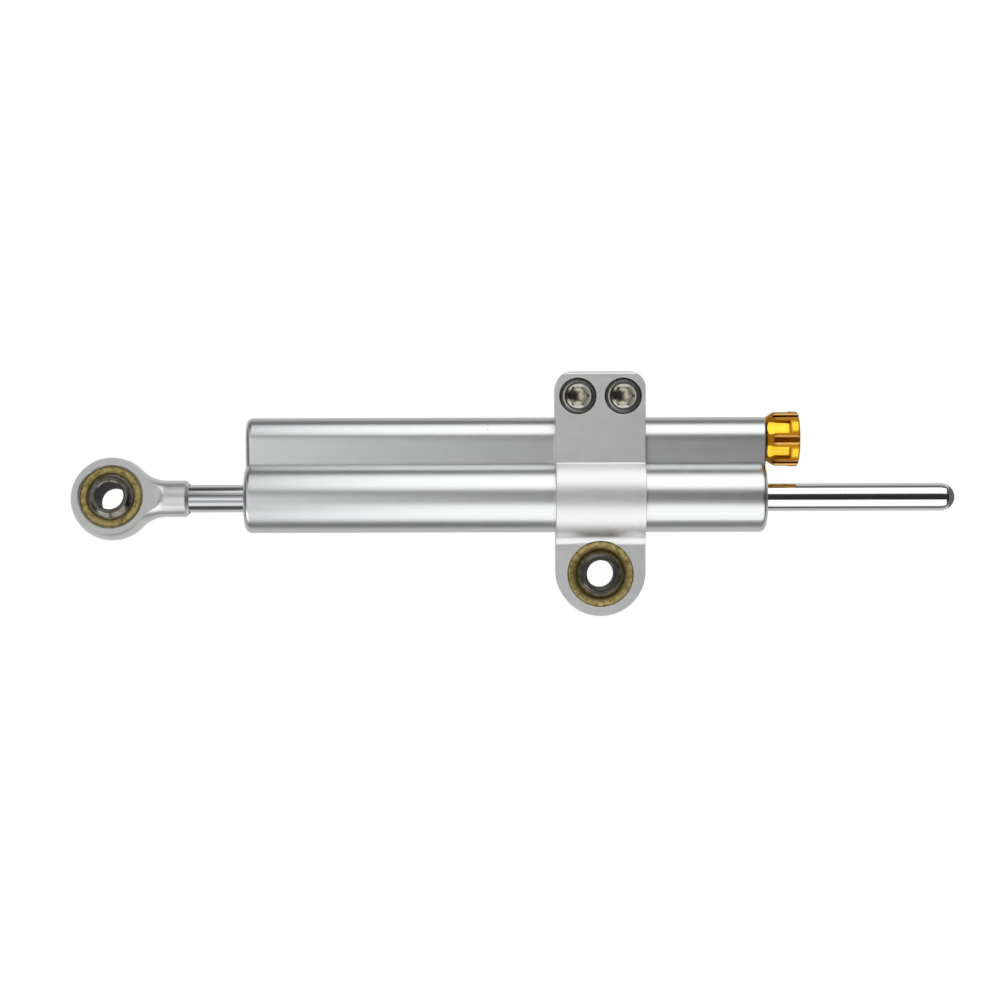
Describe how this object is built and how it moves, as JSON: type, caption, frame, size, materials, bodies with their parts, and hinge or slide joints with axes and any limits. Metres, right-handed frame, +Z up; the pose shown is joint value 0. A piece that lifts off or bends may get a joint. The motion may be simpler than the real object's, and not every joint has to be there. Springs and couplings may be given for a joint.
{
  "type": "motorcycle steering damper",
  "caption": "Through-rod hydraulic steering damper in a split clamp, with an adjuster knob and ball bearings at the clamp and the rod end.",
  "frame": {"origin": "centre of the ball bore in the clamp's eye", "axes": "+X along the rod towards the adjuster knob, +Y from the clamp's eye towards its screws, +Z up along the clamp eye's bolt"},
  "size_m": [0.2561, 0.0703, 0.0252],
  "materials": {
    "satin_aluminium": "satin anodised",
    "milled_aluminium": "milled and satin anodised",
    "turned_aluminium": "turned, satin",
    "hard_aluminium": "hard anodised",
    "hard_chrome": "ground and polished",
    "gold_anodised": "gold anodised",
    "race_brass": "turned",
    "bronze": "sintered",
    "ball_steel": "ground",
    "zinc_steel": "zinc plated",
    "spring_steel": "phosphated",
    "seal_rubber": "matt",
    "guide_plastic": "filled PTFE"
  },
  "bodies": {
    "barrel": {"damper_body": "satin_aluminium", "left_gland": "hard_aluminium", "right_gland": "hard_aluminium", "gland_o_rings": "seal_rubber", "guide_bushes": "bronze", "rod_seals": "seal_rubber", "rod_wipers": "seal_rubber", "gland_circlips": "spring_steel", "valve_cartridge": "race_brass", "cartridge_o_rings": "seal_rubber", "compensator_spring": "spring_steel", "reservoir_plug": "hard_aluminium", "plug_o_ring": "seal_rubber", "plug_circlip": "spring_steel"},
    "guide_band": {"piston_guide_band": "guide_plastic"},
    "rod": {"piston_rod": "hard_chrome", "piston": "hard_aluminium", "piston_o_ring": "seal_rubber", "piston_circlips": "spring_steel", "rod_end_housing": "turned_aluminium", "rod_end_race": "race_brass"},
    "rod_ball": {"rod_end_ball": "ball_steel"},
    "clamp_block": {"clamp": "milled_aluminium", "clamp_race": "race_brass", "clamp_screws": "zinc_steel"},
    "clamp_bearing_ball": {"clamp_ball": "ball_steel"},
    "adjuster": {"adjuster_knob": "gold_anodised", "knob_screw": "zinc_steel", "adjuster_spindle": "ball_steel", "spindle_o_ring": "seal_rubber", "click_ball": "ball_steel", "click_spring": "spring_steel"},
    "needle": {"needle_valve": "ball_steel"},
    "compensator": {"compensator_piston": "hard_aluminium", "compensator_o_ring": "seal_rubber"}
  },
  "joints": [
    {"name": "rod_slide", "type": "slide", "parent": "barrel", "child": "guide_band", "axis": [1, 0, 0], "range_m": [-0.052, 0.0155]},
    {"name": "rod_spin", "type": "hinge", "parent": "guide_band", "child": "rod", "pos_m": [0, 0.022, 0], "axis": [1, 0, 0], "continuous": true},
    {"name": "rod_ball_swing", "type": "hinge", "parent": "rod", "child": "rod_ball", "pos_m": [-0.1413, 0.022, 0], "axis": [0, 0.1736, 0.9848], "continuous": true},
    {"name": "clamp_slide", "type": "slide", "parent": "barrel", "child": "clamp_block", "axis": [1, 0, 0], "range_m": [-0.087, 0.033]},
    {"name": "clamp_ball_swing", "type": "hinge", "parent": "clamp_block", "child": "clamp_bearing_ball", "pos_m": [0, 0, 0], "axis": [0, 0, 1], "continuous": true},
    {"name": "knob_turn", "type": "hinge", "parent": "barrel", "child": "adjuster", "pos_m": [0.0479, 0.039, -0.0036], "axis": [1, 0, 0], "range_deg": [-360, 360]},
    {"name": "needle_travel", "type": "slide", "parent": "barrel", "child": "needle", "axis": [1, 0, 0], "range_m": [-0.001, 0.001]},
    {"name": "compensator_travel", "type": "slide", "parent": "barrel", "child": "compensator", "axis": [1, 0, 0], "range_m": [-0.003, 0.003], "stiffness_N_per_m": 400, "deforming": ["compensator_spring"]}
  ],
  "couplings": [
    {"joint": "needle_travel", "follows": "knob_turn", "m_per_rad": 0.00015915}
  ]
}
